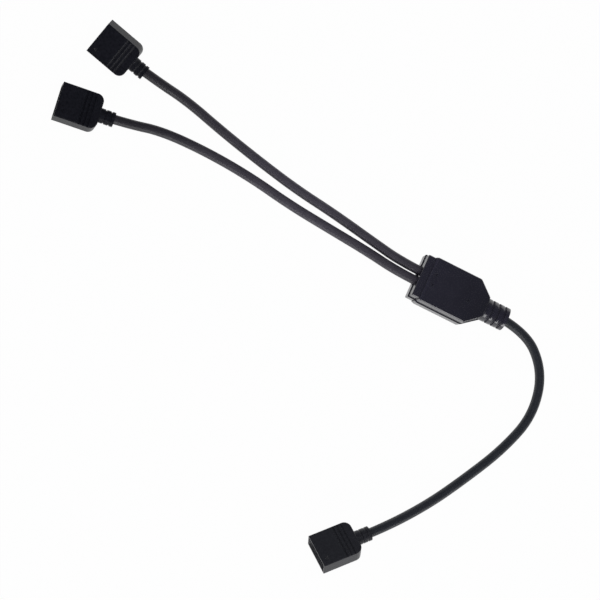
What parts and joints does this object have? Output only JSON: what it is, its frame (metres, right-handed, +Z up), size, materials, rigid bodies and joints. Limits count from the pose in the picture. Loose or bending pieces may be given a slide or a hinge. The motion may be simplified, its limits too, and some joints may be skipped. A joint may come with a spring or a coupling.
{
  "type": "rgb splitter cable",
  "caption": "Black Y splitter lead for colour light strips: a trunk lead and branch leads joined in a moulded junction, each ending in a moulded in-line socket.",
  "frame": {"origin": "bottom centre of the junction moulding", "axes": "+X along the junction's axis towards the trunk lead, +Y towards branch a, +Z up from the surface it lies on"},
  "size_m": [0.2008, 0.1404, 0.012],
  "materials": {
    "black_moulding": "satin black over-moulded vinyl with a fine spark texture",
    "cable_jacket": "satin black vinyl jacket",
    "socket_insert": "semi-gloss black nylon",
    "inner_mould": "milky natural polythene",
    "contact_plating": "bright plated spring brass",
    "splice_copper": "bright copper strip",
    "core_black": "satin black insulation",
    "core_green": "satin green insulation",
    "core_red": "satin red insulation",
    "core_blue": "satin blue insulation"
  },
  "bodies": {
    "root": {"branch_a_cable": "cable_jacket", "branch_a_core_blue": "core_blue", "branch_a_core_common": "core_black", "branch_a_core_green": "core_green", "branch_a_core_red": "core_red", "branch_b_cable": "cable_jacket", "branch_b_core_blue": "core_blue", "branch_b_core_common": "core_black", "branch_b_core_green": "core_green", "branch_b_core_red": "core_red", "junction_housing": "black_moulding", "junction_inner_mould": "inner_mould", "socket_a_contact_blue": "contact_plating", "socket_a_contact_common": "contact_plating", "socket_a_contact_green": "contact_plating", "socket_a_contact_red": "contact_plating", "socket_a_core_blue": "core_blue", "socket_a_core_common": "core_black", "socket_a_core_green": "core_green", "socket_a_core_red": "core_red", "socket_a_housing": "black_moulding", "socket_a_inner_mould": "inner_mould", "socket_a_insert": "socket_insert", "socket_b_contact_blue": "contact_plating", "socket_b_contact_common": "contact_plating", "socket_b_contact_green": "contact_plating", "socket_b_contact_red": "contact_plating", "socket_b_core_blue": "core_blue", "socket_b_core_common": "core_black", "socket_b_core_green": "core_green", "socket_b_core_red": "core_red", "socket_b_housing": "black_moulding", "socket_b_inner_mould": "inner_mould", "socket_b_insert": "socket_insert", "socket_trunk_contact_blue": "contact_plating", "socket_trunk_contact_common": "contact_plating", "socket_trunk_contact_green": "contact_plating", "socket_trunk_contact_red": "contact_plating", "socket_trunk_core_blue": "core_blue", "socket_trunk_core_common": "core_black", "socket_trunk_core_green": "core_green", "socket_trunk_core_red": "core_red", "socket_trunk_housing": "black_moulding", "socket_trunk_inner_mould": "inner_mould", "socket_trunk_insert": "socket_insert", "splice_blue": "splice_copper", "splice_common": "splice_copper", "splice_green": "splice_copper", "splice_red": "splice_copper", "trunk_cable": "cable_jacket", "trunk_core_blue": "core_blue", "trunk_core_common": "core_black", "trunk_core_green": "core_green", "trunk_core_red": "core_red"}
  },
  "joints": []
}
